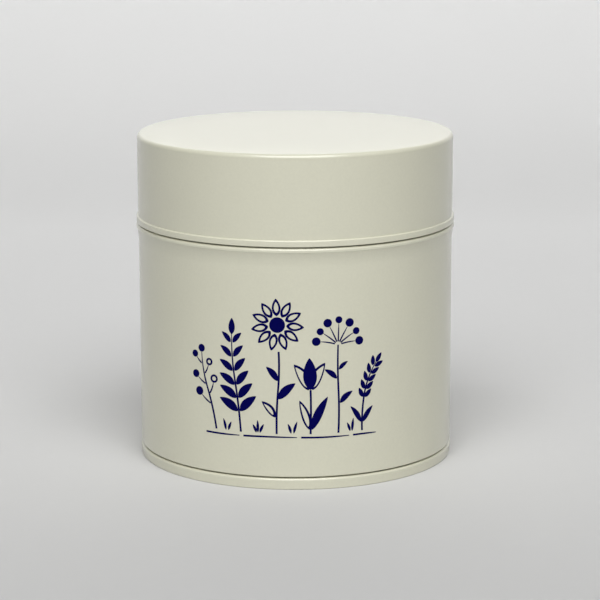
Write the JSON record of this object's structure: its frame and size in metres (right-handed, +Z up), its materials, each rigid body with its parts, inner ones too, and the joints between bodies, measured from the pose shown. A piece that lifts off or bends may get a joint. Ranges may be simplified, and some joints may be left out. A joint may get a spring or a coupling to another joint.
{
  "type": "tin canister",
  "caption": "Round cream-enamelled tin canister, shut by a flat-topped slip-over lid with a rolled hem, with a beaded shoulder and a seamed base.",
  "frame": {"origin": "centre of the base rim's foot, on the surface that the canister stands on", "axes": "+Z up the canister's axis, -Y towards the printed front, +X to the right as seen from the front"},
  "size_m": [0.088, 0.088, 0.0904],
  "materials": {
    "enamel": "cream enamel on tinplate, satin gloss",
    "print": "navy ink printed on the enamel"
  },
  "bodies": {
    "root": {"lid": "enamel", "body": "enamel", "base_end": "enamel"}
  },
  "joints": []
}
